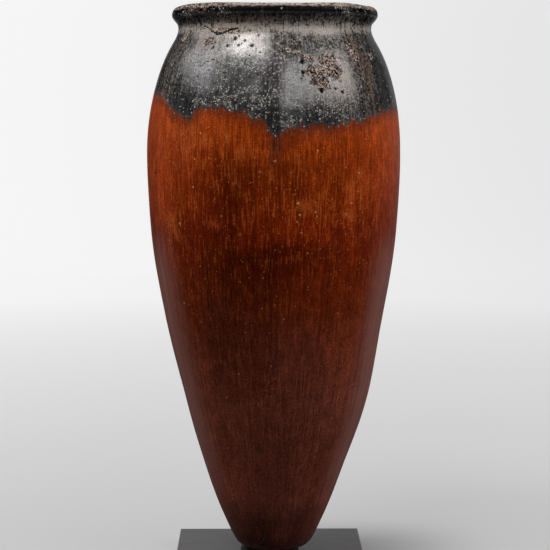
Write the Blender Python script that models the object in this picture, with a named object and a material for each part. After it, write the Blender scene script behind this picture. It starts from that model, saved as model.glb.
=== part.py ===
"""A tall black-topped clay jar, held upright on the stand that it is shown on.

Three separate pieces: the hollow jar, the round cup under its small foot, and the square plate
below. Metres, +Z up. The origin is on the plate's underside, straight below the jar's own axis.
"""
import math

import bmesh
import bpy
import numpy as np
from mathutils import Matrix

# Jar: heights run up from its own lowest point, radii out from its own axis
BODY_HEIGHT = 0.2850        # lowest point up to the widest part
SHOULDER_HEIGHT = 0.0788    # widest part up to the neck
LIP_HEIGHT = 0.0160         # neck up to the crest of the lip
BELLY_RADIUS = 0.0880
NECK_RADIUS = 0.0668
LIP_REACH = 0.0042          # how far the lip stands out from the neck
LIP_WIDTH = 0.0076          # across the rounded top of the lip
LIP_EDGE_DROP = 0.0061      # crest down to the lip's outermost line
WALL = 0.0065
NECK_WALL = 0.0060
FLOOR = 0.0120              # clay under the lowest point of the hollow
FLOOR_TURN = 0.0100         # height over which the hollow's floor turns up into its wall

# The jar was built by hand: its axis bows to one side low down, and its mouth leans the same way
BOW = 0.0019
BOW_HEIGHT = 0.1070
BOW_SPREAD = 0.0400
LEAN = 0.0009

# Half outline of the body as (share of body height, share of belly radius)
BODY_FORM = (
    (0.0, 0.0), (0.0011, 0.102), (0.0039, 0.200), (0.0074, 0.239), (0.0123, 0.272),
    (0.0189, 0.297), (0.0295, 0.318), (0.0453, 0.345), (0.0702, 0.381), (0.105, 0.430),
    (0.158, 0.496), (0.228, 0.574), (0.316, 0.669), (0.404, 0.746), (0.509, 0.820),
    (0.632, 0.897), (0.754, 0.960), (0.877, 0.991), (1.0, 1.0),
)
# Half outline of the shoulder as (share of its height, share of the step from neck to belly)
SHOULDER_FORM = ((0.317, 0.888), (0.546, 0.694), (0.723, 0.470), (0.850, 0.244), (0.933, 0.074))
# Underside of the lip as (share of its rise from neck to edge, share of its reach)
FLARE_FORM = ((0.0, 0.0), (0.33, 0.11), (0.60, 0.60), (0.84, 0.95))

# Stand
PLATE_SIDE = 0.1320
PLATE_THICKNESS = 0.0080
PLATE_BEVEL = 0.0005
CUP_RADIUS = 0.0204
CUP_HEIGHT = 0.0039         # plate top up to the cup's rim
CUP_BEVEL = 0.0004
SEAT_DEPTH = 0.0008         # how deep the jar's lowest point sits below the cup's rim
STAND_SHIFT = -0.0028       # the stand's centre, along X from the jar's axis
GAP = 0.0003                # clearance between pieces that rest on each other

# Fineness of the round surfaces
SEGMENTS = 60
FOOT_SPANS = 6              # spans of the outline at the foot that stay one step each
CURVE_STEPS = 2
LIP_ARC_STEPS = 6
FLOOR_TURN_STEPS = 4

CUP_TOP = PLATE_THICKNESS + CUP_HEIGHT
JAR_FOOT = CUP_TOP - SEAT_DEPTH
JAR_HEIGHT = BODY_HEIGHT + SHOULDER_HEIGHT + LIP_HEIGHT
NECK_LEVEL = BODY_HEIGHT + SHOULDER_HEIGHT


def spline(points, steps):
    """Natural cubic through (radius, height) points, with steps[i] equal steps to span i."""
    points = np.array(points)
    gaps = np.sqrt(np.linalg.norm(np.diff(points, axis=0), axis=1))
    matrix = np.eye(len(points))
    pull = np.zeros_like(points)
    for i in range(1, len(points) - 1):
        matrix[i, i - 1:i + 2] = gaps[i - 1], 2 * (gaps[i - 1] + gaps[i]), gaps[i]
        rise, fall = points[i + 1] - points[i], points[i] - points[i - 1]
        pull[i] = 6 * (rise / gaps[i] - fall / gaps[i - 1])
    bends = np.linalg.solve(matrix, pull)
    curve = []
    for i, count in enumerate(steps):
        for step in range(count):
            b = step / count
            a = 1 - b
            bend = (a ** 3 - a) * bends[i] + (b ** 3 - b) * bends[i + 1]
            curve.append(a * points[i] + b * points[i + 1] + gaps[i] ** 2 / 6 * bend)
    curve.append(points[-1])
    return np.array(curve)


def outer_points():
    """Points of the jar's outside from its lowest point up to the lip's outermost line."""
    body = [(BELLY_RADIUS * r, BODY_HEIGHT * h) for h, r in BODY_FORM]
    step_in = BELLY_RADIUS - NECK_RADIUS
    shoulder = [(NECK_RADIUS + step_in * r, BODY_HEIGHT + SHOULDER_HEIGHT * h)
                for h, r in SHOULDER_FORM]
    rise = LIP_HEIGHT - LIP_EDGE_DROP
    flare = [(NECK_RADIUS + LIP_REACH * r, NECK_LEVEL + rise * h) for h, r in FLARE_FORM]
    return body + shoulder + flare


def lip_points():
    """Half ellipse over the lip, from its outermost line to its inner edge."""
    middle = NECK_RADIUS + LIP_REACH - LIP_WIDTH / 2
    level = JAR_HEIGHT - LIP_EDGE_DROP
    turns = [math.pi * i / LIP_ARC_STEPS for i in range(LIP_ARC_STEPS + 1)]
    return [(middle + LIP_WIDTH / 2 * math.cos(t), level + LIP_EDGE_DROP * math.sin(t))
            for t in turns]


def outer_curve():
    """Outside and lip of the jar, closely spaced at the foot and lip and wider on the body."""
    outside, lip = outer_points(), lip_points()
    body_spans = len(outside) - FOOT_SPANS - len(FLARE_FORM)
    steps = [1] * FOOT_SPANS + [CURVE_STEPS] * body_spans + [1] * (len(FLARE_FORM) + len(lip) - 1)
    return spline(outside + lip, steps)


def hollow_curve():
    """Inside of the jar from the neck down to the middle of its floor, one wall inside the outside."""
    outside = outer_points()
    fine = spline(outside, [CURVE_STEPS * 4] * (len(outside) - 1))
    slant = np.sqrt(1 + np.gradient(fine[:, 0], fine[:, 1]) ** 2)
    low, high = FLOOR + FLOOR_TURN, NECK_LEVEL - NECK_WALL
    heights = [high] + [h for _, h in reversed(outside) if low < h < high] + [low]
    wall = [(np.interp(h, fine[:, 1], fine[:, 0] - WALL * slant), h) for h in heights]
    floor_radius = wall[-1][0]
    turns = [math.pi / 2 * i / FLOOR_TURN_STEPS for i in range(1, FLOOR_TURN_STEPS)]
    turn = [(floor_radius * math.cos(t), low - FLOOR_TURN * math.sin(t)) for t in turns]
    neck = [(NECK_RADIUS - NECK_WALL, NECK_LEVEL)]
    points = neck + wall + turn + [(0.0, FLOOR)]
    return spline(points, [1] * (len(points) - 1))


def axis_drift(height):
    """Sideways place of the jar's axis at a height, from the bow and from the leaning mouth."""
    bow = BOW * math.exp(-((height - BOW_HEIGHT) / BOW_SPREAD) ** 2)
    above = max(0.0, height - BODY_HEIGHT) / (JAR_HEIGHT - BODY_HEIGHT)
    return bow + LEAN * above


def material(name, colour, roughness, metallic=0.0):
    shader = bpy.data.materials.new(name)
    shader.use_nodes = True
    socket = shader.node_tree.nodes["Principled BSDF"].inputs
    socket["Base Color"].default_value = (*colour, 1.0)
    socket["Roughness"].default_value = roughness
    socket["Metallic"].default_value = metallic
    return shader


def finish(name, mesh_data, shader):
    """An object from a bmesh, with its faces turned outwards and its round surfaces shaded smooth."""
    bmesh.ops.recalc_face_normals(mesh_data, faces=mesh_data.faces)
    mesh = bpy.data.meshes.new(name)
    mesh_data.to_mesh(mesh)
    mesh_data.free()
    mesh.shade_smooth()
    mesh.set_sharp_from_angle(angle=math.radians(40))
    if shader:
        mesh.materials.append(shader)
    piece = bpy.data.objects.new(name, mesh)
    bpy.context.scene.collection.objects.link(piece)
    return piece


def turned(outline):
    """A closed body turned about Z from an outline whose two ends lie on the axis."""
    body = bmesh.new()
    line = [body.verts.new((radius, 0.0, height)) for radius, height in outline]
    edges = [body.edges.new(pair) for pair in zip(line, line[1:])]
    bmesh.ops.spin(body, geom=line + edges, axis=(0, 0, 1), cent=(0, 0, 0),
                   steps=SEGMENTS, angle=2 * math.pi, use_merge=True)
    bmesh.ops.remove_doubles(body, verts=body.verts, dist=1e-6)
    return body


def jar():
    outline = [*outer_curve(), *hollow_curve()]
    outline[0] = (0.0, 0.0)
    body = turned(outline)
    for vert in body.verts:
        vert.co.x += axis_drift(vert.co.z)
        vert.co.z += JAR_FOOT
    return finish("vase", body, material("fired clay", (0.34, 0.09, 0.035), 0.45))


def seat_cutter():
    """The jar's foot grown by the clearance, which hollows the seat into the cup."""
    foot = spline(outer_points()[:FOOT_SPANS + 1], [1] * FOOT_SPANS)
    outline = [(radius + GAP * (radius > 0), height - GAP) for radius, height in foot]
    outline.append((0.0, outline[-1][1]))
    cutter = finish("seat cutter", turned(outline), None)
    cutter.location.z = JAR_FOOT
    cutter.hide_render = True
    cutter.display_type = "WIRE"
    return cutter


def bevelled(piece, width, segments):
    bevel = piece.modifiers.new("edge", "BEVEL")
    bevel.width = width
    bevel.segments = segments
    bevel.limit_method = "ANGLE"
    bevel.angle_limit = math.radians(60)


def foot_cup():
    body = bmesh.new()
    height = CUP_HEIGHT - GAP
    bmesh.ops.create_cone(body, cap_ends=True, segments=SEGMENTS, radius1=CUP_RADIUS,
                          radius2=CUP_RADIUS, depth=height,
                          matrix=Matrix.Translation((0, 0, CUP_TOP - height / 2)))
    cup = finish("foot_cup", body, material("black cup paint", (0.012, 0.010, 0.010), 0.5))
    cup.location.x = STAND_SHIFT
    bevelled(cup, CUP_BEVEL, 2)
    seat = cup.modifiers.new("seat", "BOOLEAN")
    seat.operation = "DIFFERENCE"
    seat.solver = "EXACT"
    seat.object = seat_cutter()
    return cup


def base_plate():
    body = bmesh.new()
    bmesh.ops.create_cube(body, size=1.0)
    bmesh.ops.scale(body, vec=(PLATE_SIDE, PLATE_SIDE, PLATE_THICKNESS), verts=body.verts)
    bmesh.ops.translate(body, vec=(0, 0, PLATE_THICKNESS / 2), verts=body.verts)
    plate = finish("base_plate", body, material("grey plate paint", (0.12, 0.115, 0.115), 0.5))
    plate.location.x = STAND_SHIFT
    bevelled(plate, PLATE_BEVEL, 2)
    return plate


for leftover in list(bpy.data.objects):
    bpy.data.objects.remove(leftover)
jar()
foot_cup()
base_plate()
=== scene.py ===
"""The looks of a tall black-topped clay jar on its stand: surfaces, colours, light and camera.

Metres, +Z up. The jar's axis is the Z axis and its photographed side faces -Y. A turn is an angle
round the jar in degrees: 0 at the front, positive towards +X. Reliefs and marks are in millimetres.
"""
import math

import bmesh
import bpy
import numpy as np
from bpy.props import FloatProperty, FloatVectorProperty, IntProperty, PointerProperty
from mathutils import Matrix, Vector, noise
from mathutils.bvhtree import BVHTree


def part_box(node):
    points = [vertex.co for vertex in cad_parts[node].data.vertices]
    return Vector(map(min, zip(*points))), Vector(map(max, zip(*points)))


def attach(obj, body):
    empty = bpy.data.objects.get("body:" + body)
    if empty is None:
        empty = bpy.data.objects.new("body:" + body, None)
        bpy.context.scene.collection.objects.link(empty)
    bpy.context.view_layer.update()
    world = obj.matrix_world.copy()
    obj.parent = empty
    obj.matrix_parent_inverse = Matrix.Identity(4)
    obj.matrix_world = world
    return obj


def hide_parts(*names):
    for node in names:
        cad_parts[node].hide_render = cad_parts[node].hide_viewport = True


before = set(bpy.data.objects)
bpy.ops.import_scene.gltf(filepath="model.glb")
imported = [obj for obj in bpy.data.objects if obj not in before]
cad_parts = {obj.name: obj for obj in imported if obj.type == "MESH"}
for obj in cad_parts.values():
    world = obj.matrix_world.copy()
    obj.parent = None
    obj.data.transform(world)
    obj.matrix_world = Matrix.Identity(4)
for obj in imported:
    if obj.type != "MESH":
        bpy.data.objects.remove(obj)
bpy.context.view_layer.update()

bl_info = {
    "name": "Black-topped jar",
    "version": (1, 0, 0),
    "blender": (4, 5, 0),
    "location": "3D View > Sidebar > Jar",
    "description": "Builds the surface, stand and studio of a black-topped clay jar",
    "category": "Add Mesh",
}

MM = 0.001
PICTURE_SIDE = 550      # width and height of the photo, whose pixels place the marks below

# Lower edge of the black top, in photo pixels from left to right
BLACK_EDGE = (
    (150, 88), (156, 93), (165, 100), (174, 113), (180, 114), (189, 121), (195, 110), (205, 106),
    (218, 110), (225, 107), (236, 114), (243, 112), (253, 120), (262, 122), (270, 133), (276, 140),
    (280, 133), (290, 127), (310, 129), (320, 126), (333, 129), (349, 123), (355, 119), (360, 124),
    (372, 117), (385, 111), (397, 106),
)
BACK_EDGE_HEIGHT = 0.3110       # the same edge round the back
BACK_EDGE_WAVES = ((2, 3.5, 40), (5, 2.5, 110), (11, 1.8, 10), (23, 1.2, 75))

# Round pits, as photo pixel, radius and depth
PITS = (
    (235, 38, 1.2, 1.0), (252, 45, 1.0, 0.8), (250, 31, 0.7, 0.5), (259, 35, 0.6, 0.4),
    (238, 45, 0.7, 0.5), (245, 40, 0.7, 0.5), (227, 45, 0.8, 0.6), (213, 47, 0.9, 0.7),
    (215, 42, 0.7, 0.5), (239, 36, 0.6, 0.4), (322, 91, 1.6, 1.2), (343, 92, 1.1, 0.9),
    (336, 89, 1.1, 0.8), (303, 72, 1.2, 0.9), (312, 72, 1.4, 0.9), (303, 76, 0.8, 0.6),
    (337, 73, 1.2, 0.9), (302, 61, 1.5, 0.9), (155, 173, 1.2, 0.8), (289, 180, 1.1, 0.8),
    (375, 258, 1.3, 1.0), (231, 180, 1.0, 0.4),
)
# Open cracks, as photo pixels along each, then width and depth
CRACKS = (
    (((204, 26), (210, 29), (217, 34), (222, 33), (227, 31), (232, 29), (238, 28)), 0.8, 0.9),
    (((194, 68), (198, 65), (202, 66), (205, 62), (210, 61), (213, 59), (218, 62)), 0.5, 0.5),
)
# Patches where the burnished skin has flaked off, as photo pixel, half width, half height and depth
FLAKES = (
    (287, 50, 5.0, 1.8, 0.5), (297, 52, 4.0, 2.2, 0.4), (309, 58, 6.5, 3.6, 0.6),
    (327, 60, 12.0, 5.5, 0.7), (318, 71, 9.0, 7.0, 0.7), (335, 71, 7.0, 6.5, 0.6),
    (323, 82, 7.5, 5.0, 0.6), (316, 79, 5.0, 4.5, 0.5), (226, 30, 15.0, 2.6, 0.3),
    (209, 41, 6.5, 4.0, 0.25), (184, 39, 5.0, 4.0, 0.25), (352, 52, 4.5, 3.5, 0.3),
    (356, 59, 3.5, 3.5, 0.3), (370, 55, 2.6, 3.5, 0.3), (349, 45, 3.0, 3.0, 0.25),
)
# Pale grains and chips on the red clay, as photo pixel, half width and half height
FLECKS = (
    (172, 129, 0.8, 0.7), (182, 132, 0.7, 0.8), (201, 133, 0.8, 1.1), (226, 137, 1.1, 0.9),
    (195, 159, 0.8, 1.0), (269, 161, 0.5, 0.5), (275, 161, 1.0, 0.8), (260, 171, 0.5, 1.4),
    (169, 177, 0.6, 0.6), (193, 187, 1.0, 0.5), (201, 124, 0.6, 0.6), (187, 196, 0.8, 0.6),
    (302, 181, 0.7, 1.0), (303, 131, 1.0, 0.9), (324, 148, 0.9, 0.7), (371, 116, 0.8, 0.9),
    (318, 151, 0.6, 1.4), (320, 156, 0.4, 1.5), (360, 173, 1.0, 0.8), (384, 178, 0.6, 1.0),
    (298, 203, 1.1, 0.8), (352, 203, 1.1, 0.8), (316, 212, 0.9, 1.2), (317, 216, 1.0, 1.0),
    (300, 215, 0.9, 0.6), (297, 222, 0.8, 0.6), (346, 215, 0.5, 1.6), (348, 233, 1.1, 0.8),
    (302, 233, 0.7, 0.6), (178, 213, 0.8, 0.6), (179, 224, 1.5, 1.1), (212, 216, 0.7, 0.5),
    (222, 216, 0.6, 0.6), (200, 266, 0.6, 0.6), (205, 279, 0.6, 0.6), (241, 260, 0.5, 0.6),
    (263, 278, 0.6, 0.5), (184, 303, 0.6, 0.6), (308, 253, 0.9, 0.8), (320, 249, 0.6, 0.5),
    (280, 252, 0.5, 0.5), (284, 319, 0.5, 0.6), (338, 313, 0.7, 0.6), (193, 367, 0.5, 0.5),
    (206, 376, 0.6, 0.6), (239, 374, 0.5, 0.5), (219, 404, 0.6, 0.5), (247, 405, 0.5, 0.5),
    (267, 396, 0.5, 0.6), (304, 411, 0.6, 0.5), (342, 375, 0.6, 0.6), (232, 434, 0.5, 0.5),
    (282, 500, 0.7, 0.5), (308, 506, 0.6, 0.6), (313, 490, 0.5, 0.5), (327, 440, 0.5, 0.5),
    (354, 384, 1.6, 0.3), (166, 221, 0.7, 0.5), (172, 230, 0.6, 0.6), (169, 240, 0.7, 0.5),
)
FLECK_REACH = 3.2       # how far round each fleck the faces are made finer
FLECK_FACE = 1.2        # side of the largest face left there
# Turn, lowest and highest level in metres within which the front's faces are cut in four, in order
FINE_AREAS = ((92, 0.24, 0.40), (88, 0.29, 0.40))
FINE_TURN = 100         # how far round from the front the clay's grain goes
GRAIN_SIZE = 0.0035     # in metres
SKIN_DEPTH = 0.02       # how far the whole surface lies inside the solid
# How each kind of mark ends, as shares of its size: how far round it corners are looked at, how
# much the clay's grain roughens its outline, and where its rim starts and stops
MARK_EDGES = {"flake": (1.6, 0.6, 0.55, 0.95), "pit": (2.2, 0.3, 0.35, 1.0),
              "fleck": (2.5, 0.4, 0.6, 1.1)}
CRACK_RAGGED = 0.7      # how much the grain roughens a crack's sides
CRACK_CORE = 0.3        # share of a crack's width where it is deepest
# How far from the lip's crest its changes are full and are gone, along the outline: the uneven
# crest, the pebbles, the flaked clay among them and the rubbed clay
DROP_SPAN, PEBBLE_SPAN, FLAKED_SPAN, WORN_SPAN = (1.0, 7.0), (6, 11), (4, 6), (3.6, 5.2)
BURNISH_SPAN = (7.5, 11)        # and where the burnishing starts and is full
DUST_SPAN = (8, 12)             # and the dust
# The jar's broad unevenness: its size in metres, its depth, and how far below the crest it sets in
LUMP_SIZE, LUMP_DEPTH, LUMP_FADE = 0.05, 0.25, 0.02
# Facets left by the burnishing pebble: how many round the jar's radius and to a metre of height
FACETS_ROUND, FACETS_UP, FACET_DEPTH = 17.0, 16.0, 0.09
DENT_SIZE, DENT_DEPTH = 0.009, 0.05         # of the shallow dents, the size in metres
# The lip's uneven crest, as turn round the jar in degrees and how far it drops there
CREST_DROPS = ((-180, 0.6), (-90, 0.6), (-74, 0.6), (-58, 0.0), (-36, 0.0), (-12, 1.0), (14, 1.0),
               (38, 0.1), (46, 0.1), (60, 0.8), (90, 0.7), (180, 0.6))
# Turns between which the lip is rough and pebbled, and over how many degrees that sets in
PEBBLED = ((-84, -26), (36, 84))
PEBBLED_FADE = 12
INSIDE_ABOVE_EDGE = 60.0        # height above the black top's edge that the whole inside counts as
# Wide soft changes, as photo pixel, half width, half height and strength
SOFT_MARKS = {
    # Mostly the clay's own mottling. The tall marks along the left and right edges brighten the red
    # as a painted sheen.
    "tone": (
        (292, 222, 24, 15, 0.26), (238, 268, 24, 32, -0.18), (345, 345, 16, 60, 0.12),
        (374, 200, 16, 70, 0.20), (163, 200, 9, 62, 0.34), (388, 210, 9, 66, 0.28),
        (305, 430, 14, 60, 0.10), (240, 185, 30, 22, -0.44), (325, 172, 26, 11, -0.16),
        (232, 205, 18, 26, -0.10), (300, 233, 22, 8, 0.40), (218, 254, 26, 8, -0.16),
        (218, 338, 24, 36, -0.34), (270, 362, 22, 20, -0.15), (326, 288, 24, 30, 0.30),
        (342, 222, 8, 14, 0.22), (265, 505, 10, 12, 0.30), (306, 518, 10, 9, -0.35),
        (228, 485, 12, 18, 0.15), (340, 130, 14, 8, 0.15),
    ),
    "speckle": (
        (262, 95, 42, 20, 0.8), (222, 82, 26, 16, 0.5), (315, 112, 30, 10, 0.6),
        (285, 70, 12, 24, 0.4), (340, 100, 16, 14, 0.3), (320, 35, 36, 10, 0.3),
        (196, 9, 20, 7, 1.2), (356, 9, 18, 7, 1.2), (216, 17, 14, 6, 0.6),
    ),
    "tan": (
        (368, 78, 9, 28, 0.9), (356, 52, 10, 10, 0.6), (205, 42, 12, 9, 0.4),
        (350, 85, 8, 20, 0.3), (196, 9, 10, 6, 0.9), (164, 90, 8, 26, 0.5), (182, 40, 8, 8, 0.5),
    ),
    "smoke": (
        (276, 146, 4, 11, 0.9), (191, 118, 8, 8, 0.3), (330, 132, 14, 6, 0.3),
        (155, 96, 4, 6, 0.4), (290, 136, 10, 6, 0.3),
    ),
    # Brown-grey dust on the black. The long band along the neck is partly a painted highlight.
    "dusty": (
        (318, 34, 40, 12, 0.6), (222, 35, 30, 11, 0.5), (346, 88, 10, 26, 0.7),
        (233, 28, 4, 3.5, 1.4), (265, 20, 56, 4, 1.0), (262, 75, 44, 20, 0.18),
        (168, 78, 14, 34, 0.7), (368, 75, 14, 34, 0.5), (330, 94, 16, 8, 0.4),
    ),
    "flecked": (
        (190, 138, 22, 14, 0.8), (172, 228, 12, 14, 0.9), (308, 208, 18, 14, 0.7),
        (350, 200, 16, 24, 0.6), (250, 160, 30, 24, 0.3),
    ),
}
SOFT_BASE = {"tone": 1.0, "speckle": 0.3, "tan": 0.05, "dusty": 0.10, "smoke": 0.0,
             "flecked": 0.10}
# The smoky patch on the belly: its upper edge in photo pixels, its half width in degrees and half
# height in millimetres, and how much darker it is
STAIN_EDGE = ((200, 262), (235, 258), (262, 249), (276, 243), (292, 240), (310, 241), (330, 248),
              (350, 262))
STAIN_REACH = (30, 26)
STAIN_STRENGTH = 0.42
# The pale film below the lip, partly dust and partly a painted highlight: how strong it is, how far
# it spreads, and how far below the neck it lies
NECK_DUST_AND_HIGHLIGHT_STRENGTH, NECK_DUST_AND_HIGHLIGHT_SPREAD, NECK_DUST_AND_HIGHLIGHT_DROP = 1.7, 2.6, 1.6
SHOULDER_LEVEL = 0.35           # a height in metres between the jar's widest part and its neck

# Where the jar's rings of faces change size, in metres along its outline before and past the neck
RINGS_BEFORE_NECK = (0.16, 0.11, 0.012)
RINGS_PAST_NECK = 0.02
INWARD = -0.2           # faces that lean further inwards than this belong to the hollow
MISSED_REACH = 1.22     # how far out the jar's nearest point to a ray that misses it is sought
ROUND_SIDES = 96        # sides of the cup and of the floor
FOOT_POINTS = 40        # points of the outline that the cup's seat can follow
EDGE_REACH = 1.1        # how far in the paint counts as edge, as a share of the rounding
COVE_STEPS = 12
WATTS_FOR_RADIANCE = 4  # what a square metre of a soft box needs for a radiance of 1

# The red clay's colours, as height in metres and name, on a ramp that is this high, and how far a
# colour wanders up and down. The ramp darkens towards the foot partly as the clay's own colour and
# partly as painted shade, and its purple step is partly a painted grey sheen.
RED_STEPS = ((0.022, "foot"), (0.050, "purple"), (0.120, "purple"), (0.190, "brown"),
             (0.240, "red"), (0.275, "ember"), (0.312, "orange"))
RED_RAMP = 0.4
RED_WANDER = 0.07
BELLY_RADIUS = 88.0     # to which the strokes' widths are true

# The painted shadow on the floor beside the plate, dimming the backdrop's glow: from nothing to
# full along each axis, in metres
SHADE_EDGES = (("x", -0.05, 0.05), ("x", 0.17, 0.060), ("y", 0.14, 0.04), ("y", -0.17, -0.07),
               ("z", 0.10, 0.02))
# Soft boxes, as setting and share of its radiance, whether the jar mirrors the box, its turn and
# half width in degrees, its lowest and highest angle above the horizon, and its distance in metres
SOFT_BOXES = {
    "right soft box": ("right_light", 1.0, True, 45, 37, 22, 45, 1.3),
    "right bright edge": ("right_light", 0.6, True, 69, 14, 20, 40, 1.28),
    "right side fill": ("side_light", 1.0, False, 100, 26, -12, 40, 1.35),
    "left side fill": ("side_light", 0.6, False, -96, 28, -12, 20, 1.35),
    "overhead bright edge": ("top_light", 0.55, True, -53, 12, 47, 62, 0.98),
    "overhead soft box": ("top_light", 1.0, True, -37, 27, 47, 62, 1.0),
    "left soft box": ("left_light", 1.0, True, -89, 25, 24, 50, 1.3),
    "left fill": ("fill_light", 1.0, True, -46, 34, 27, 46, 1.35),
}
SHOULDER_SEEN = 0.33    # height in metres from which the soft boxes' angles are measured
CUP_SHARE = 0.3         # how bright the cup's worn paint is beside the plate's


def from_display(red, green, blue):
    """Linear colour from display values of 0 to 255."""
    return tuple(c / 12.92 if c <= 0.04045 else ((c + 0.055) / 1.055) ** 2.4
                 for c in (red / 255, green / 255, blue / 255))


def colour_property(name, description, display):
    return FloatVectorProperty(name=name, description=description, subtype="COLOR", size=3,
                               min=0.0, max=1.0, default=from_display(*display))


def value_property(name, description, default, low=0.0, **settings):
    return FloatProperty(name=name, description=description, default=default, min=low, **settings)


def length_property(name, description, default, low=0.0):
    return value_property(name, description, default, low, subtype="DISTANCE", unit="LENGTH",
                          precision=5)


def angle_property(name, description, degrees):
    return FloatProperty(name=name, description=description, default=math.radians(degrees),
                         subtype="ANGLE")


class JarShape(bpy.types.PropertyGroup):
    """How finely the jar is made."""

    columns: IntProperty(name="Columns", description="Faces round the jar away from its front",
                         default=136, min=24)
    body_ring: length_property("Body ring", "Height of the faces on the body", 0.0040)
    shoulder_ring: length_property("Shoulder ring", "Height of the faces on the shoulder", 0.0024)
    lip_ring: length_property("Lip ring", "Length of the faces over the lip", 0.0012)
    inside_ring: length_property("Inside ring", "Height of the faces inside", 0.0080)


class JarColours(bpy.types.PropertyGroup):
    """Colours of the fired and burnished clay."""

    orange: colour_property("Orange", "Clay just below the black top", (192, 76, 15))
    ember: colour_property("Ember", "Clay above the belly", (172, 62, 12))
    red: colour_property("Red", "Clay round the belly", (131, 40, 9))
    brown: colour_property("Brown", "Clay below the belly", (124, 48, 22))
    # Purple is partly a painted grey sheen, and foot is partly painted shade.
    purple: colour_property("Purple", "Clay above the foot", (142, 74, 58))
    foot: colour_property("Foot", "Clay at the foot", (66, 30, 20))
    stroke: colour_property("Stroke", "Lightest burnishing strokes on the red", (212, 104, 46))
    fleck: colour_property("Fleck", "Grains and chips of pale clay", (255, 210, 150))
    grit: colour_property("Grit", "Fine grains on the red", (240, 152, 78))
    black: colour_property("Black", "Blackened clay without its sheen", (34, 34, 36))
    burnished: colour_property("Burnished", "Blackened clay that a pebble has made shine",
                               (98, 99, 102))
    dust: colour_property("Dust", "Pale specks on the black", (218, 209, 198))
    # This colour also brightens the neck groove, partly as a painted highlight.
    dusting: colour_property("Dusting", "Brown-grey film on the black", (190, 178, 167))
    # Lighter than the clay alone, partly as a painted highlight on the lumps.
    bare: colour_property("Bare clay", "Clay under the flaked skin", (224, 196, 181))
    tan: colour_property("Tan", "Brown strokes on the black", (158, 116, 82))
    worn: colour_property("Worn lip", "Rubbed clay over the lip", (196, 178, 165))
    # Painted sheen: a pale colour laid into the clay where it is seen edge-on.
    painted_edge_sheen: colour_property("Haze", "Milky sheen of the clay seen edge-on", (180, 130, 122))
    # Painted shade: the near-black inside pits, pocks and cracks.
    pit: colour_property("Pit", "Inside of pits and cracks", (10, 9, 9))


class StandFinish(bpy.types.PropertyGroup):
    """Paint and edges of the stand."""

    plate: colour_property("Plate", "Paint of the plate", (120, 118, 121))
    cup: colour_property("Cup", "Paint of the cup", (24, 21, 20))
    worn: colour_property("Worn paint", "Paint rubbed thin along the edges", (132, 129, 128))
    edge: length_property("Edge", "Width of the rounded edges", 0.0004)
    rub: length_property("Rub", "How far in from its edges the paint is worn", 0.0012)
    gap: length_property("Gap", "Clearance under the jar's foot", 0.0003)
    seat: FloatVectorProperty(name="Seat", description="Radii at which the cup is hollowed",
                              size=4, default=(0.0160, 0.0130, 0.0090, 0.0050), min=0.0)


class StudioSettings(bpy.types.PropertyGroup):
    """Camera, light and backdrop."""

    lens: value_property("Lens", "Focal length", 114.55, 1.0, unit="CAMERA")
    distance: length_property("Distance", "From the camera to its aim on the jar's axis", 1.2250)
    aim_height: length_property("Aim height", "Height that the camera looks at", 0.20497)
    aim_side: length_property("Aim side", "Sideways place that the camera looks at", 0.00091, -1.0)
    tilt: angle_property("Tilt", "How far the camera looks down", 5.548)
    orbit: angle_property("Orbit", "How far the camera stands round to the left", 0.6)
    floor_radius: length_property("Floor radius", "Flat part of the floor", 2.2)
    cove: length_property("Cove", "Radius of the curve from floor to wall", 0.6)
    wall: length_property("Wall", "Height of the wall", 1.5)
    behind: FloatVectorProperty(name="Behind", description="How far the wall that the jar reflects "
                                "reaches left and right of its middle", size=2, subtype="EULER",
                                default=(math.radians(20), math.radians(40)))
    mirrored: value_property("Mirrored", "Share of the backdrop's light that reflections show",
                             0.25, max=1.0)
    paper: colour_property("Paper", "Backdrop", (160, 160, 161))
    floor_glow: value_property("Floor glow", "Light from the floor itself", 0.35)
    wall_glow: value_property("Wall glow", "Light from the wall itself", 0.73)
    glow_lean: value_property("Glow lean", "How much brighter the left side is", 0.1, max=1.0)
    # Painted shadow: dims the floor's glow to the right of the plate.
    shade: value_property("Shade", "How much of the floor's light the stand hides on its right",
                          0.62, max=1.0)
    right_light: value_property("Right light", "Radiance of the right soft box", 1.7)
    top_light: value_property("Top light", "Radiance of the overhead soft box", 5.0)
    left_light: value_property("Left light", "Radiance of the left soft box", 1.7)
    side_light: value_property("Side light", "Radiance of the low side panels", 0.75)
    fill_light: value_property("Fill light", "Radiance of the dim left panel", 0.38)
    room_light: value_property("Room light", "Light from all round", 0.0)


def deselect():
    for piece in bpy.context.selected_objects:
        piece.select_set(False)


def take_up(piece):
    """Makes a piece the one that operators act on."""
    deselect()
    piece.select_set(True)
    bpy.context.view_layer.objects.active = piece


def added(name):
    """The piece just added, under its name and with its place moved into its mesh."""
    piece = bpy.context.object
    piece.name = piece.data.name = name
    take_up(piece)
    bpy.ops.object.transform_apply(location=True, rotation=True, scale=True)
    return piece


def edit_mode(piece, kind="FACE"):
    """Starts editing a piece with nothing selected."""
    take_up(piece)
    bpy.ops.object.mode_set(mode="EDIT")
    bpy.ops.mesh.select_mode(type=kind)
    bpy.ops.mesh.select_all(action="DESELECT")


def leave_edit():
    bpy.ops.object.mode_set(mode="OBJECT")


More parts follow.
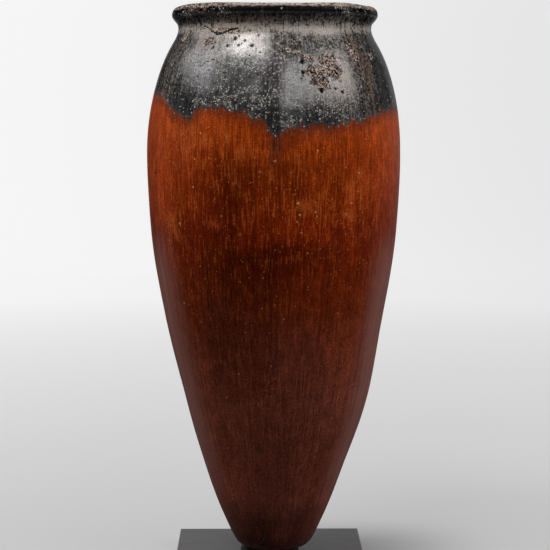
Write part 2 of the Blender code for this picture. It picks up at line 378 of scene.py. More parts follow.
class Outline:
    """The jar's outline, read from its solid, from the lowest point over the lip to the floor."""

    def __init__(self, node):
        body = bmesh.new()
        body.from_mesh(node.data)
        bmesh.ops.remove_doubles(body, verts=body.verts, dist=1e-5)
        right, left = self.side(body, 1), self.side(body, -1)
        points = np.array([((a.x - b.x) / 2, a.z, (a.x + b.x) / 2) for a, b in zip(right, left)])
        self.tree = BVHTree.FromBMesh(body)
        body.free()
        fine = self.smooth(points, 16)
        steps = np.linalg.norm(np.diff(fine[:, :2], axis=0), axis=1)
        self.along = np.concatenate([[0.0], np.cumsum(steps)])
        self.fine = fine
        self.crest = float(self.along[fine[:, 1].argmax()])
        self.length = float(self.along[-1])

    @staticmethod
    def side(body, sign):
        """Corners of the outline on one side of the jar."""
        flat = {v for v in body.verts if abs(v.co.y) < 1e-6}
        spot = min(flat, key=lambda v: v.co.z)
        path = [spot]
        while spot:
            ahead = [e.other_vert(spot) for e in spot.link_edges]
            ahead = [v for v in ahead if v in flat and v not in path and sign * v.co.x > -1e-4]
            spot = ahead[0] if ahead else None
            path += ahead[:1]
        return [v.co.copy() for v in path]

    @staticmethod
    def smooth(points, steps):
        """Natural cubic through the points, with equal steps to each span."""
        gaps = np.sqrt(np.linalg.norm(np.diff(points[:, :2], axis=0), axis=1))
        matrix = np.eye(len(points))
        pull = np.zeros_like(points)
        for i in range(1, len(points) - 1):
            matrix[i, i - 1:i + 2] = gaps[i - 1], 2 * (gaps[i - 1] + gaps[i]), gaps[i]
            rise, fall = points[i + 1] - points[i], points[i] - points[i - 1]
            pull[i] = 6 * (rise / gaps[i] - fall / gaps[i - 1])
        bends = np.linalg.solve(matrix, pull)
        b = np.arange(steps)[:, None] / steps
        a = 1 - b
        curve = [a * points[i] + b * points[i + 1]
                 + gaps[i] ** 2 / 6 * ((a ** 3 - a) * bends[i] + (b ** 3 - b) * bends[i + 1])
                 for i in range(len(gaps))]
        return np.concatenate(curve + [points[-1:]])

    def at(self, along):
        """Radius, height and drift at places along the outline."""
        return [np.interp(along, self.along, self.fine[:, i]) for i in range(3)]

    def slope(self, along):
        """Outward direction at places along the outline, as its radial and upright parts."""
        ahead, behind = self.at(along + 2e-4), self.at(along - 2e-4)
        run, rise = ahead[0] - behind[0], ahead[1] - behind[1]
        size = np.maximum(np.hypot(run, rise), 1e-9)
        return rise / size, -run / size

    def rings(self, shape):
        """Places along the outline for the rings of faces, closest over the lip."""
        above = self.fine[:, 1] > SHOULDER_LEVEL
        neck = self.along[np.argmax(above & (np.gradient(self.fine[:, 0]) > 0))]
        inner_neck = 2 * self.crest - neck
        marks = [0, *(neck - before for before in RINGS_BEFORE_NECK), neck, inner_neck,
                 inner_neck + RINGS_PAST_NECK, self.length]
        sizes = np.repeat([shape.body_ring, shape.shoulder_ring, shape.lip_ring,
                           shape.inside_ring], 2)
        share = np.concatenate([[0], np.cumsum(np.diff(self.along) / np.interp(
            (self.along[1:] + self.along[:-1]) / 2, marks, sizes))])
        return np.interp(np.linspace(0, share[-1], int(share[-1]) + 1), share, self.along)


OUTLINE = Outline(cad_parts["vase"])


class PhotoView:
    """The camera's place and directions, and where its rays meet the jar."""

    def __init__(self, studio):
        tilt, orbit = studio.tilt, studio.orbit
        self.ahead = Vector((math.sin(orbit) * math.cos(tilt), math.cos(orbit) * math.cos(tilt),
                             -math.sin(tilt)))
        self.right = Vector((math.cos(orbit), -math.sin(orbit), 0))
        self.up = self.right.cross(self.ahead)
        aim = Vector((studio.aim_side * math.cos(orbit), 0, studio.aim_height))
        self.place = aim - studio.distance * self.ahead
        self.pixels = studio.lens / 36 * PICTURE_SIDE

    def spot(self, x, y):
        """The point of the jar that shows at a pixel of the photo, and its outward direction."""
        middle = PICTURE_SIDE / 2
        ray = self.ahead * self.pixels + self.right * (x - middle) + self.up * (middle - y)
        point, outward, _, _ = OUTLINE.tree.ray_cast(self.place, ray.normalized())
        if point is None:
            beside = self.place + ray.normalized() * MISSED_REACH
            point, outward, _, _ = OUTLINE.tree.find_nearest(beside)
        return point, outward

    def turn_and_height(self, x, y):
        point, _ = self.spot(x, y)
        return math.degrees(math.atan2(point.x, -point.y)), point.z


def rise(value, low, high):
    """Goes smoothly from 0 at low to 1 at high."""
    share = np.clip((value - low) / (high - low), 0, 1)
    return share * share * (3 - 2 * share)


def roughly(places, size, seed=0.0, octaves=1):
    """Soft random values of about -1 to 1 at places in metres, with lumps of a size in metres."""
    shift = Vector((seed * 7.31, seed * 3.17, seed * 5.53))
    values = np.zeros(len(places))
    strength = 1.0
    for octave in range(octaves):
        scale = 2 ** octave / size
        values += strength * np.array([noise.noise(Vector(p) * scale + shift) for p in places])
        strength *= 0.5
    return values


class JarMesh:
    """The jar's corners, each put exactly on the outline at its own turn round the jar."""

    def __init__(self, mesh):
        self.mesh = mesh
        count = len(mesh.vertices)
        corners, self.along = np.empty(count * 3), np.empty(count)
        mesh.vertices.foreach_get("co", corners)
        mesh.attributes["along"].data.foreach_get("value", self.along)
        corners = corners.reshape(-1, 3)
        self.turn = np.degrees(np.arctan2(corners[:, 0], -corners[:, 1]))
        self.outside = self.along <= OUTLINE.crest
        self.from_crest = np.abs(self.along - OUTLINE.crest) / MM
        self.radius, self.height, drift = OUTLINE.at(self.along)
        angle = np.radians(self.turn)
        self.round = np.stack([np.sin(angle), -np.cos(angle), np.zeros(count)], 1)
        self.co = self.round * self.radius[:, None]
        self.co[:, 0] += drift
        self.co[:, 2] = self.height
        out, up = OUTLINE.slope(self.along)
        self.outward = self.round * out[:, None]
        self.outward[:, 2] = up

    def near(self, point, outward, reach):
        """Which corners lie within reach of a point of the outside, and how far across and up."""
        offset = self.co - np.array(point)
        close = np.where((np.abs(offset) < reach).all(1) & self.outside)[0]
        upward = np.array(outward) * -outward.z + np.array((0, 0, 1))
        upward /= np.linalg.norm(upward)
        across = np.cross(upward, np.array(outward))
        return close, offset[close] @ across / MM, offset[close] @ upward / MM

    def keep(self, name, values):
        """Stores one value a corner for the material to read."""
        layer = self.mesh.attributes.new(name, "FLOAT", "POINT")
        layer.data.foreach_set("value", values.astype(np.float32))

    def finish(self, relief):
        """Moves the corners outwards by the relief in millimetres and stores them."""
        self.co += self.outward * relief[:, None] * MM
        self.mesh.vertices.foreach_set("co", self.co.ravel())
        self.mesh.update()


def turned_jar(shape):
    """A closed jar, its outline extruded corner by corner and then spun round the axis."""
    rings = OUTLINE.rings(shape)
    radius, height, _ = OUTLINE.at(rings)
    bpy.ops.mesh.primitive_plane_add(size=MM, location=(0, 0, 0))
    jar = added("jar_surface")
    bpy.ops.object.mode_set(mode="EDIT")
    bpy.ops.mesh.merge(type="CENTER")
    bpy.ops.transform.translate(value=(radius[0], 0, height[0]))
    for run, climb in zip(np.diff(radius), np.diff(height)):
        bpy.ops.mesh.extrude_vertices_move(TRANSFORM_OT_translate={"value": (run, 0, climb)})
    bpy.ops.object.mode_set(mode="OBJECT")
    order = along_the_line(jar.data)
    along = np.empty(len(order))
    along[order] = rings
    jar.data.attributes.new("along", "FLOAT", "POINT").data.foreach_set("value", along)
    bpy.ops.object.mode_set(mode="EDIT")
    bpy.ops.mesh.select_all(action="SELECT")
    bpy.ops.mesh.spin(steps=shape.columns, angle=math.tau, center=(0, 0, 0), axis=(0, 0, 1))
    bpy.ops.mesh.select_all(action="SELECT")
    bpy.ops.mesh.remove_doubles(threshold=1e-6)
    bpy.ops.mesh.normals_make_consistent(inside=False)
    bpy.ops.object.mode_set(mode="OBJECT")
    return jar


def along_the_line(mesh):
    """Corner numbers of an open line of edges, in order from its lowest end inwards."""
    beside = {}
    for edge in mesh.edges:
        a, b = edge.vertices
        beside.setdefault(a, []).append(b)
        beside.setdefault(b, []).append(a)
    ends = [v for v, others in beside.items() if len(others) == 1]
    path = [min(ends, key=lambda v: mesh.vertices[v].co.z)]
    while len(path) < len(mesh.vertices):
        path.append(next(v for v in beside[path[-1]] if v not in path[-2:]))
    return np.array(path)


def cut_faces(jar, chosen, cuts):
    """Cuts the chosen faces of the jar finer."""
    edit_mode(jar)
    body = bmesh.from_edit_mesh(jar.data)
    for face, wanted in zip(body.faces, chosen):
        if wanted:
            face.select_set(True)
    bmesh.update_edit_mesh(jar.data)
    bpy.ops.mesh.subdivide(number_cuts=cuts)
    leave_edit()


def face_values(mesh, name, size=1):
    values = np.empty(len(mesh.polygons) * size)
    mesh.polygons.foreach_get(name, values)
    return values.reshape(-1, size) if size > 1 else values


def refine(jar, width, low, high):
    """Cuts in four each outer face within a width of turns of the front and a span of heights."""
    middle, normal = face_values(jar.data, "center", 3), face_values(jar.data, "normal", 3)
    turn = np.degrees(np.abs(np.arctan2(middle[:, 0], -middle[:, 1])))
    outside = (middle[:, :2] * normal[:, :2]).sum(1) > INWARD * np.hypot(*middle[:, :2].T)
    cut_faces(jar, (turn < width) & outside & (middle[:, 2] > low) & (middle[:, 2] < high), 1)


def refine_near(jar, spots):
    """Cuts the faces round each spot finer, so that a small mark is drawn sharply."""
    middle = face_values(jar.data, "center", 3)
    apart = np.min([np.linalg.norm(middle - np.array(spot), axis=1) for spot in spots], axis=0)
    large = face_values(jar.data, "area") > (FLECK_FACE * MM) ** 2
    cut_faces(jar, (apart < FLECK_REACH * MM) & large, 2)


def black_edge_height(view, turns):
    """Height of the black top's lower edge at turns round the jar, in metres."""
    front = sorted(view.turn_and_height(x, y) for x, y in BLACK_EDGE)
    front_turns, front_heights = zip(*front)
    back = np.full(len(turns), BACK_EDGE_HEIGHT)
    for count, size, start in BACK_EDGE_WAVES:
        back += size * MM * np.sin(np.radians(count * turns + start))
    seen = np.interp(turns, front_turns, front_heights)
    past = np.maximum(front_turns[0] - turns, turns - front_turns[-1])
    return seen + (back - seen) * rise(past, 0.0, 40.0)


def stain(body, view):
    """How much darker the smoky patch on the belly is: clear at its upper edge, soft below."""
    edge = sorted(view.turn_and_height(x, y) for x, y in STAIN_EDGE)
    turns, heights = zip(*edge)
    below = (np.interp(body.turn, turns, heights) - body.height) / MM
    across = (body.turn - turns[len(turns) // 2]) / STAIN_REACH[0]
    depth = rise(below, -1.5, 2.5) * np.exp(-(np.maximum(below, 0) / STAIN_REACH[1]) ** 2)
    return STAIN_STRENGTH * depth * np.exp(-across ** 2)


def neck_dust_and_highlight(body):
    """Pale film in the groove just below the lip, partly dust and partly a painted highlight."""
    radii = np.where(OUTLINE.fine[:, 1] > SHOULDER_LEVEL, OUTLINE.fine[:, 0], 1)
    neck = OUTLINE.along[np.argmin(radii + (OUTLINE.along > OUTLINE.crest))]
    above = (body.along - neck) / MM + NECK_DUST_AND_HIGHLIGHT_DROP
    return NECK_DUST_AND_HIGHLIGHT_STRENGTH * np.exp(-(above / NECK_DUST_AND_HIGHLIGHT_SPREAD) ** 2)


def soft_marks(body, view):
    """Stores the wide soft changes of tone and grit for the material to read."""
    for name, marks in SOFT_MARKS.items():
        values = np.full(len(body.co), SOFT_BASE[name])
        for x, y, half_width, half_height, strength in marks:
            turn, height = view.turn_and_height(x, y)
            apart = (body.turn - turn + 180) % 360 - 180
            across = np.radians(apart) * np.maximum(body.radius, 0.02) / MM / half_width
            up = (body.height - height) / MM / half_height
            values += strength * np.exp(-across ** 2 - up ** 2)
        if name == "dusty":
            values = (values + neck_dust_and_highlight(body)) * rise(body.from_crest, *DUST_SPAN)
        if name == "tone":
            values -= stain(body, view)
        body.keep(name, values)


def carve(jar, view):
    """Gives the jar its unevenness, flaked patches, cracks, pits and worn lip."""
    body = JarMesh(jar.data)
    lumps = np.maximum(0, 0.6 + roughly(body.co, LUMP_SIZE, 1))
    relief = -SKIN_DEPTH - LUMP_DEPTH * lumps * rise(OUTLINE.crest - body.along, 0.0, LUMP_FADE)
    facets = np.stack([*body.round[:, :2].T * FACETS_ROUND, body.height * FACETS_UP], 1)
    relief -= FACET_DEPTH * (0.5 + 0.5 * roughly(facets, 1.0, 3, 2))
    relief -= DENT_DEPTH * np.maximum(0, 0.5 + roughly(body.co, DENT_SIZE, 4, 2))
    relief[~body.outside] = 0
    flaked, pitted, fleck, grain = np.zeros((4, len(body.co)))
    fine = np.where((np.abs(body.turn) < FINE_TURN) & body.outside)[0]
    grain[fine] = roughly(body.co[fine], GRAIN_SIZE, 2, 3)

    def near_mark(kind, x, y, half_width, half_height):
        """Corners near a photo pixel, and how far inside the mark there each is, from 0 to 1."""
        reach, ragged, full, gone = MARK_EDGES[kind]
        size = reach * max(half_width, half_height) * MM
        close, across, up = body.near(*view.spot(x, y), size)
        apart = np.hypot(across / half_width, up / half_height) + ragged * grain[close]
        return close, 1 - rise(apart, full, gone)

    for *place, depth in FLAKES:
        close, inside = near_mark("flake", *place)
        flaked[close] = np.maximum(flaked[close], inside)
        relief[close] = np.minimum(relief[close], -inside * depth * (0.55 + 0.7 * grain[close]))
    for x, y, size, depth in PITS:
        close, inside = near_mark("pit", x, y, size, size)
        pitted[close] = np.maximum(pitted[close], inside)
        relief[close] -= inside * depth
    for points, width, depth in CRACKS:
        spots = [view.spot(x, y) for x, y in points]
        for (start, outward), (end, _) in zip(spots, spots[1:]):
            middle, reach = (start + end) / 2, (end - start).length / 2 + 2 * width * MM
            close, _, _ = body.near(middle, outward, reach)
            line = np.array(end - start)
            offset = body.co[close] - np.array(start)
            share = np.clip(offset @ line / (line @ line), 0, 1)
            apart = np.linalg.norm(offset - share[:, None] * line, axis=1) / MM
            apart += CRACK_RAGGED * np.abs(grain[close])
            inside = 1 - rise(apart, CRACK_CORE * width, width)
            pitted[close] = np.maximum(pitted[close], inside)
            relief[close] = np.minimum(relief[close], -inside * depth)
    for place in FLECKS:
        close, inside = near_mark("fleck", *place)
        fleck[close] = np.maximum(fleck[close], inside)
    relief -= np.interp(body.turn, *zip(*CREST_DROPS)) * (1 - rise(body.from_crest, *DROP_SPAN))
    pebbled = sum(rise(body.turn, low, low + PEBBLED_FADE)
                  * (1 - rise(body.turn, high - PEBBLED_FADE, high)) for low, high in PEBBLED)
    pebbles = (0.15 + 2.2 * pebbled) * np.maximum(0, grain)
    relief -= (1 - rise(body.from_crest, *PEBBLE_SPAN)) * pebbles
    lip_flaked = 0.6 * pebbled * (1 - rise(body.from_crest + grain, *FLAKED_SPAN))
    worn = (1 - rise(body.from_crest + 0.8 * grain, *WORN_SPAN)) * (1 - 0.8 * pebbled)
    edge = black_edge_height(view, body.turn)
    above_edge = np.where(body.outside, (body.height - edge) / MM, INSIDE_ABOVE_EDGE)
    # The burnish mark also sets where the black is darkened as painted shade.
    for name, values in {"above_edge": above_edge, "flaked": np.maximum(flaked, lip_flaked),
                         "pitted": pitted, "fleck": fleck, "worn": worn,
                         "burnish_and_shade": body.outside * rise(body.from_crest, *BURNISH_SPAN)}.items():
        body.keep(name, values)
    soft_marks(body, view)
    body.finish(np.minimum(relief, 0))


def opaque(colour):
    """A colour with its alpha, which is 1 where it isn't given."""
    return (*colour, 1.0)[:4]


def add_node(tree, kind, inputs=None, **settings):
    """A shader node with its settings made, and its inputs linked or given a value."""
    made = tree.nodes.new(kind)
    for name, value in settings.items():
        setattr(made, name, value)
    for name, value in (inputs or {}).items():
        socket = made.inputs[name]
        if isinstance(value, Signal):
            value.into(socket)
        else:
            socket.default_value = opaque(value) if socket.type == "RGBA" else value
    return made


class Signal:
    """A node's output. Arithmetic on it adds Math nodes, and a | b is the greater of two."""

    def __init__(self, node, output=0):
        self.socket = node.outputs[output]
        self.tree = node.id_data

    def math(self, operation, *values):
        """A Math node of the given values, this signal among them."""
        return Signal(add_node(self.tree, "ShaderNodeMath", dict(enumerate(values)),
                               operation=operation))

    def __add__(self, other):
        return self.math("ADD", self, other)

    def __sub__(self, other):
        return self.math("SUBTRACT", self, other)

    def __rsub__(self, other):
        return self.math("SUBTRACT", other, self)

    def __mul__(self, other):
        return self.math("MULTIPLY", self, other)

    def __truediv__(self, other):
        return self.math("DIVIDE", self, other)

    def __rtruediv__(self, other):
        return self.math("DIVIDE", other, self)

    def __or__(self, other):
        return self.math("MAXIMUM", self, other)

    def __abs__(self):
        return self.math("ABSOLUTE", self)

    __radd__, __rmul__ = __add__, __mul__

    def clamped(self):
        return Signal(add_node(self.tree, "ShaderNodeClamp", {0: self}))

    def eased(self, low, high, start=0.0, end=1.0):
        """A value that goes smoothly from start to end while this one goes from low to high."""
        inputs = {"Value": self, "From Min": low, "From Max": high, "To Min": start, "To Max": end}
        return Signal(add_node(self.tree, "ShaderNodeMapRange", inputs,
                               interpolation_type="SMOOTHSTEP"))

    def around_one(self, strength, middle=0.5):
        """This value of about 0 to 1 turned into a factor on both sides of 1."""
        return self.math("MULTIPLY_ADD", self, 2 * strength, 1 - 2 * strength * middle)

    def into(self, socket):
        self.tree.links.new(self.socket, socket)


def varied(*patterns):
    """One factor from patterns, each with how strongly it varies on both sides of 1."""
    return math.prod(pattern.around_one(strength) for pattern, strength in patterns)


def vector_math(operation, first, second):
    """A Vector Math node's result; the second value of SCALE is a plain value."""
    tree = (first if isinstance(first, Signal) else second).tree
    inputs = {0: first, "Scale" if operation == "SCALE" else 1: second}
    return Signal(add_node(tree, "ShaderNodeVectorMath", inputs, operation=operation))


def parts(vector):
    """The three parts of a vector."""
    node = add_node(vector.tree, "ShaderNodeSeparateXYZ", {0: vector})
    return [Signal(node, i) for i in range(3)]


def joined(tree, **axes):
    """A vector of the given parts, 0 along the others."""
    return Signal(add_node(tree, "ShaderNodeCombineXYZ", axes))


def layered(colour, *layers):
    """A colour with others laid over it in turn, each by its share."""
    for share, cover in layers:
        inputs = {"Factor": share, 6: colour, 7: cover}
        colour = Signal(add_node(share.tree, "ShaderNodeMix", inputs, data_type="RGBA"), 2)
    return colour


def noise_value(place, scale, detail=2.0, roughness=0.5, distortion=0.0):
    inputs = {"Vector": place, "Scale": scale, "Detail": detail, "Roughness": roughness,
              "Distortion": distortion}
    return Signal(add_node(place.tree, "ShaderNodeTexNoise", inputs))


def stored(tree, name):
    return Signal(add_node(tree, "ShaderNodeAttribute", attribute_name=name), "Fac")


def group(name, inputs, outputs):
    """An empty node group: its tree, its inputs as signals, and the sockets of its output."""
    tree = bpy.data.node_groups.new(name, "ShaderNodeTree")
    for label, kind, value in inputs:
        socket = tree.interface.new_socket(name=label, in_out="INPUT",
                                           socket_type="NodeSocket" + kind)
        if value is not None:
            socket.default_value = value
    for label, kind in outputs:
        tree.interface.new_socket(name=label, in_out="OUTPUT", socket_type="NodeSocket" + kind)
    given, made = tree.nodes.new("NodeGroupInput"), tree.nodes.new("NodeGroupOutput")
    return tree, [Signal(given, label) for label, *_ in inputs], made.inputs


def stroke_group():
    """Upright strokes left by a burnishing pebble, as a value of 0 to 1."""
    tree, (place, width, length, seed), made = group(
        "Burnish strokes",
        [("Vector", "Vector", None), ("Width", "Float", 3.0), ("Length", "Float", 60.0),
         ("Seed", "Float", 0.0)],
        [("Value", "Float")])
    x, y, height = parts(place)
    direction = Signal(add_node(tree, "ShaderNodeVectorMath", {0: joined(tree, X=x, Y=y)},
                                operation="NORMALIZE"))
    round_jar = vector_math("SCALE", direction, BELLY_RADIUS / width)
    lift = joined(tree, Z=height * 1000.0 / length + seed)
    noise_value(vector_math("ADD", round_jar, lift), 1.0, 2.0, 0.6).into(made["Value"])


def speck_group():
    """Small irregular specks of which only a share show, as a mask of 0 to 1."""
    tree, (place, size, share, reach), made = group(
        "Specks",
        [("Vector", "Vector", None), ("Size", "Float", 1.0), ("Share", "Float", 0.2),
         ("Reach", "Float", 0.35)],
        [("Value", "Float")])
    scale = 1000.0 / size
    bent = add_node(tree, "ShaderNodeTexNoise", {"Vector": place, "Scale": scale, "Detail": 1.0})
    shift = vector_math("SUBTRACT", Signal(bent, "Color"), (0.5, 0.5, 0.5))
    spot = vector_math("ADD", vector_math("SCALE", place, scale), shift)
    dots = add_node(tree, "ShaderNodeTexVoronoi", {"Vector": spot, "Scale": 1.0})
    pick = Signal(add_node(tree, "ShaderNodeSeparateColor", {0: Signal(dots, "Color")}))
    near = Signal(dots, "Distance").eased(reach, reach * 0.6)
    (near * pick.math("LESS_THAN", pick, share)).into(made["Value"])


def placed(name, inputs):
    """A named node group, placed in the tree that its vector comes from."""
    return add_node(inputs["Vector"].tree, "ShaderNodeGroup", inputs,
                    node_tree=bpy.data.node_groups[name])


def specks(place, size, share, reach):
    return Signal(placed("Specks", {"Vector": place, "Size": size, "Share": share, "Reach": reach}))


def new_material(name, roughness, **constants):
    """A Principled material and its tree, with the values that are the same all over set on it."""
    shader = bpy.data.materials.new(name)
    shader.use_nodes = True
    surface = shader.node_tree.nodes["Principled BSDF"]
    surface.inputs["Roughness"].default_value = roughness
    for label, value in constants.items():
        surface.inputs[label.replace("_", " ")].default_value = value
    return shader, shader.node_tree, surface


def object_place(tree):
    return Signal(add_node(tree, "ShaderNodeTexCoord"), "Object")


def connect(surface, height, **signals):
    """Joins signals to a surface's sockets, and a height in millimetres to its bump."""
    for label, signal in signals.items():
        signal.into(surface.inputs[label.replace("_", " ")])
    inputs = {"Height": height, "Strength": 1.0, "Distance": MM}
    Signal(add_node(height.tree, "ShaderNodeBump", inputs)).into(surface.inputs["Normal"])


class ClayPatterns:
    """The patterns and stored marks that the red body, the black top and the damage draw on."""

    def __init__(self, tree):
        self.tree = tree
        self.place = object_place(tree)
        self.height = parts(self.place)[2]
        self.wide = self.strokes(5.0, 110.0, 0.0)
        self.thin = self.strokes(1.3, 45.0, 5.0)
        self.teeth = self.strokes(1.9, 16.0, 9.0)
        self.short = self.strokes(0.9, 11.0, 21.0)
        self.cloud = noise_value(self.place, 16.0, 3.0)
        self.crowd = noise_value(self.place, 110.0, 2.0, 0.6)
        self.grit = noise_value(self.place, 420.0, 3.0, 0.65)
        self.crumbs = noise_value(self.place, 640.0, 2.0, 0.7)
        self.grain = noise_value(self.place, 1050.0, 2.0, 0.6)

    def strokes(self, width, length, seed):
        return Signal(placed("Burnish strokes", {"Vector": self.place, "Width": width,
                                                 "Length": length, "Seed": seed}))

    def specks(self, size, share, reach):
        return specks(self.place, size, share, reach)

    def mark(self, name):
        return stored(self.tree, name)


def red_body(clay, colours):
    """Colour of the red clay: its change with height, strokes, flecks and smoke."""
    # The ramp darkens towards the foot, partly as painted shade.
    level = (clay.height + (clay.cloud - 0.5) * RED_WANDER) / RED_RAMP
    ramp = add_node(clay.tree, "ShaderNodeValToRGB", {"Fac": level})
    stops = ramp.color_ramp.elements
    for step, (height, name) in enumerate(RED_STEPS):
        stop = stops[step] if step < 2 else stops.new(height / RED_RAMP)
        stop.position = height / RED_RAMP
        stop.color = opaque(getattr(colours, name))
    factor = clay.mark("tone") * varied(
        (clay.wide, 0.5), (clay.thin, 0.55), (clay.short, 0.75), (clay.grain, 1.2),
        (clay.grit, 0.5), (clay.crowd, 0.4))
    flecked = clay.mark("flecked")
    scuffs = clay.short + (clay.crumbs + clay.crowd) * 0.5 + flecked * 0.15
    scuffs = scuffs.eased(1.07, 1.24, 0.0, 0.62) * clay.height.eased(0.16, 0.27, 0.3)
    small = clay.specks(1.2, flecked * 0.18, 0.38) * clay.grit.around_one(1.5, 0.55)
    flecks = (clay.mark("fleck") + (clay.grain - 0.5) * 2.4).eased(0.72, 0.96)
    flecks = flecks * clay.crowd.eased(0.25, 0.55, 0.45, 0.95)
    # Small pits on the red, their insides painted dark as shade.
    dark = clay.specks(2.2, 0.05, 0.24) * 0.7
    smoked = clay.mark("smoke") * clay.thin.eased(0.25, 0.6, 0.3)
    below = (clay.mark("above_edge") + clay.thin * 22.0).eased(2.0, 10.0, 0.0, 0.5)
    return layered(vector_math("SCALE", Signal(ramp), factor), (scuffs, colours.stroke),
                   (small.clamped(), colours.grit), (flecks, colours.fleck), (dark, colours.pit),
                   (smoked | below, colours.black))


def pale_specks(clay):
    """Pale crumbs and curled threads on the black top, thickest where the jar's marks say."""
    density = clay.mark("speckle")
    share = density * clay.crowd.eased(0.36, 0.64, 0.10, 0.46)
    small = clay.specks(1.25, share, 0.46) * clay.crumbs.around_one(3.0)
    large = clay.specks(2.1, share * 0.3, 0.34) * clay.grain.around_one(3.0)
    line = abs(noise_value(clay.place, 260.0, 1.0, distortion=1.6) - 0.5)
    threads = line.eased(0.016, 0.006) * clay.crowd.eased(0.50, 0.62) * density.eased(0.3, 1.0)
    return small.clamped() | large.clamped() | threads


def dust_film(clay):
    """Brown-grey film on the black top, streaked like the strokes and thickest in the neck, where
    it is partly a painted highlight.
    """
    film = (clay.thin + clay.grit + clay.crumbs) * 0.5 - 0.25
    return (clay.mark("dusty") * film.eased(0.40, 0.62, 0.12) * 0.9).clamped()


def black_top(clay, colours, sheen, speckle, film):
    """Colour of the blackened clay: burnished where it has its sheen, filmed and speckled, and
    darkened as painted shade over the lip's underside and inside the jar.
    """
    tone = varied((clay.thin, 0.6), (clay.grain, 1.6), (clay.crumbs, 1.5), (clay.crowd, 0.9))
    # Painted shade: where the clay isn't burnished, on the lip's underside and inside the jar, the
    # black is darkened to a quarter.
    tone = tone * clay.mark("burnish_and_shade").eased(0.0, 0.3, 0.25)
    tan = (clay.mark("tan") * 0.24 + clay.thin + clay.grain * 0.2).eased(0.76, 0.96, 0.0, 0.65)
    black = layered(colours.black, (sheen, colours.burnished))
    return layered(vector_math("SCALE", black, tone), (film, colours.dusting),
                   (speckle * 0.9, colours.dust), (tan, colours.tan))


def bare_clay(clay, colours):
    """Colour of the clay where the skin has flaked off: dark hollows, lumps lightened partly as a
    painted highlight, and painted glints.
    """
    mixed = (clay.grain + clay.crumbs) * 0.5
    lumps = layered(colours.black, (mixed.eased(0.475, 0.56), colours.bare))
    lumps = vector_math("SCALE", lumps, clay.grit.around_one(1.2))
    # Painted glints: pale specks over the lumps.
    return layered(lumps, (clay.specks(1.5, 0.28, 0.40), colours.dust))


def clay_material(colours):
    """Burnished red clay with a black-fired top, flaked, pitted and flecked."""
    shader, tree, surface = new_material("Burnished clay", 0.42, IOR=1.5, Coat_IOR=1.6,
                                         Coat_Roughness=0.2, Specular_IOR_Level=0.1,
                                         Specular_Tint=(0.55, 0.55, 0.58, 1.0))
    clay = ClayPatterns(tree)
    burnish_and_shade, speckle, film = clay.mark("burnish_and_shade"), pale_specks(clay), dust_film(clay)
    inside = (clay.mark("above_edge") + (clay.teeth + clay.crumbs - 1.0) * 10.0
              + (clay.crowd - 0.5) * 9.0)
    topped = inside.eased(-1.4, 1.4)

    flaked = clay.mark("flaked")
    broken = clay.crumbs * 2.1 + clay.grit * 1.2 - 1.65
    flaked = (broken * flaked.eased(0.02, 0.15) + flaked).eased(0.32, 0.62)
    worn = clay.mark("worn") * clay.grit.eased(0.36, 0.50)
    # Pits and pocks lose their sheen, and their colour is painted shade.
    pocks = clay.specks(2.4, 0.16, 0.26)
    pits = (clay.mark("pitted") + clay.grit * 0.5 - 0.25).eased(0.28, 0.50) | pocks * topped
    dull = flaked | worn | pits
    sheen = burnish_and_shade * (1.0 - dull) * inside.eased(0.5, 4.0)
    sheen = sheen * (1.0 - speckle * 0.9) * (1.0 - film * 0.9)
    graphite = topped * sheen

    # Painted sheen: the red turns milky pale where it is seen edge-on. This is weaker high on the
    # shoulder and at the foot, and hardly shows on the black.
    facing = Signal(add_node(tree, "ShaderNodeLayerWeight", {"Blend": 0.5}), "Facing")
    painted_edge_sheen = facing.eased(0.36, 0.72, 0.0, 0.66) * clay.height.eased(0.205, 0.250, 1.0, 0.12)
    painted_edge_sheen = painted_edge_sheen * clay.height.eased(0.025, 0.085, 0.15) * clay.wide.around_one(0.7)
    painted_edge_sheen = (painted_edge_sheen * (1.0 - topped * 0.9)).clamped()
    rubbed = vector_math("SCALE", tuple(colours.worn), clay.crumbs.around_one(0.8))
    colour = layered(red_body(clay, colours),
                     (topped, black_top(clay, colours, sheen, speckle, film)),
                     (painted_edge_sheen, colours.painted_edge_sheen), (flaked * 0.95, bare_clay(clay, colours)),
                     (worn, rubbed), (pits, colours.pit))

    rough = dull * 0.35 - graphite * 0.25 + clay.crumbs * 0.12 + 0.39
    coat = (1.0 - dull) * (topped * 0.13 + 0.02) * burnish_and_shade.eased(0.0, 0.3, 0.15)
    height = (clay.wide * 0.10 + clay.thin * 0.04 + clay.grain * 0.018
              + clay.grit * (dull * 0.5 + 0.03) - pocks * 0.12 + speckle * topped * 0.05)
    connect(surface, height, Base_Color=colour, Metallic=graphite * 0.85, Roughness=rough,
            Coat_Weight=coat)
    return shader


class JAR_OT_jar(bpy.types.Operator):
    """Build the jar's burnished surface over its solid"""

    bl_idname = "jar.build_jar"
    bl_label = "Jar"

    def execute(self, context):
        scene = context.scene
        deselect()
        jar = turned_jar(scene.jar_shape)
        for area in FINE_AREAS:
            refine(jar, *area)
        view = PhotoView(scene.jar_studio)
        spots = [view.spot(x, y)[0] for x, y, *_ in FLECKS]
        refine_near(jar, spots)
        refine_near(jar, spots)
        carve(jar, view)
        take_up(jar)
        bpy.ops.object.shade_smooth()
        jar.data.materials.append(clay_material(scene.jar_colours))
        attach(jar, "root")
        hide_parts("vase")
        return {"FINISHED"}


def select_where(piece, kind, test):
    """Selects the faces or edges of a piece whose middle passes a test."""
    edit_mode(piece, kind)
    body = bmesh.from_edit_mesh(piece.data)
    for part in body.faces if kind == "FACE" else body.edges:
        middle = sum((v.co for v in part.verts), Vector()) / len(part.verts)
        part.select_set(test(part, middle))
    bmesh.update_edit_mesh(piece.data)


